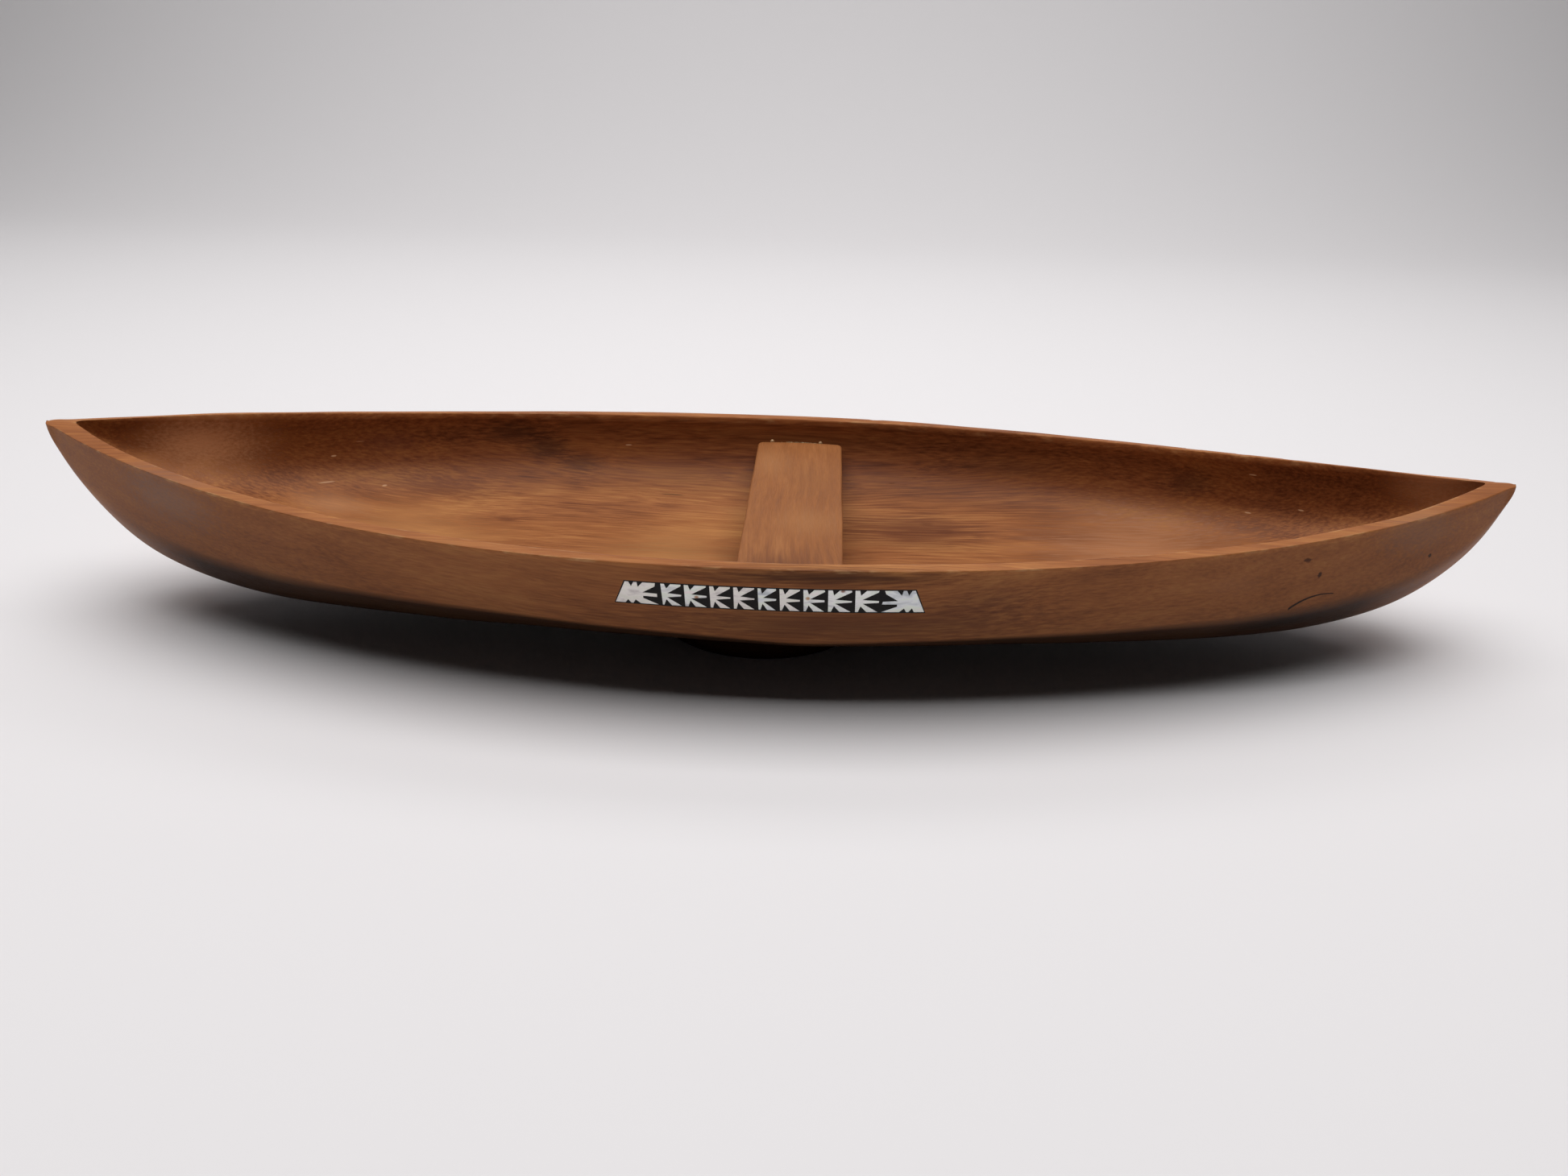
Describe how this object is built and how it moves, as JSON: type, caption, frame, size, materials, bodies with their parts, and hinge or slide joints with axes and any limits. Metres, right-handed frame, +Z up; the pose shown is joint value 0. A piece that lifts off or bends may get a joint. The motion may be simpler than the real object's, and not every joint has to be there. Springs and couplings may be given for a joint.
{
  "type": "carved wooden canoe bowl",
  "caption": "Long shallow wooden bowl in the form of a canoe, on a low oval foot, with a flat crossbar and shell inlay on both walls.",
  "frame": {"origin": "centre of the bounding box at ground level, under the middle of the bowl", "axes": "+X along the bowl towards the lower tip, +Y across it, +Z up"},
  "size_m": [0.4, 0.121, 0.0531],
  "materials": {
    "hull_wood": "satin oiled",
    "thwart_wood": "satin oiled",
    "putty": "satin",
    "shell": "polished nacre",
    "glue": "clear dried glue"
  },
  "bodies": {
    "root": {"hull": "hull_wood", "thwart": "thwart_wood", "thwart_glue_front": "glue", "thwart_glue_back": "glue", "putty_front": "putty", "putty_back": "putty", "shell_front_01": "shell", "shell_front_02": "shell", "shell_front_03": "shell", "shell_front_04": "shell", "shell_front_05": "shell", "shell_front_06": "shell", "shell_front_07": "shell", "shell_front_08": "shell", "shell_front_09": "shell", "shell_front_10": "shell", "shell_front_11": "shell", "shell_back_01": "shell", "shell_back_02": "shell", "shell_back_03": "shell", "shell_back_04": "shell", "shell_back_05": "shell", "shell_back_06": "shell", "shell_back_07": "shell", "shell_back_08": "shell", "shell_back_09": "shell", "shell_back_10": "shell", "shell_back_11": "shell"}
  },
  "joints": []
}
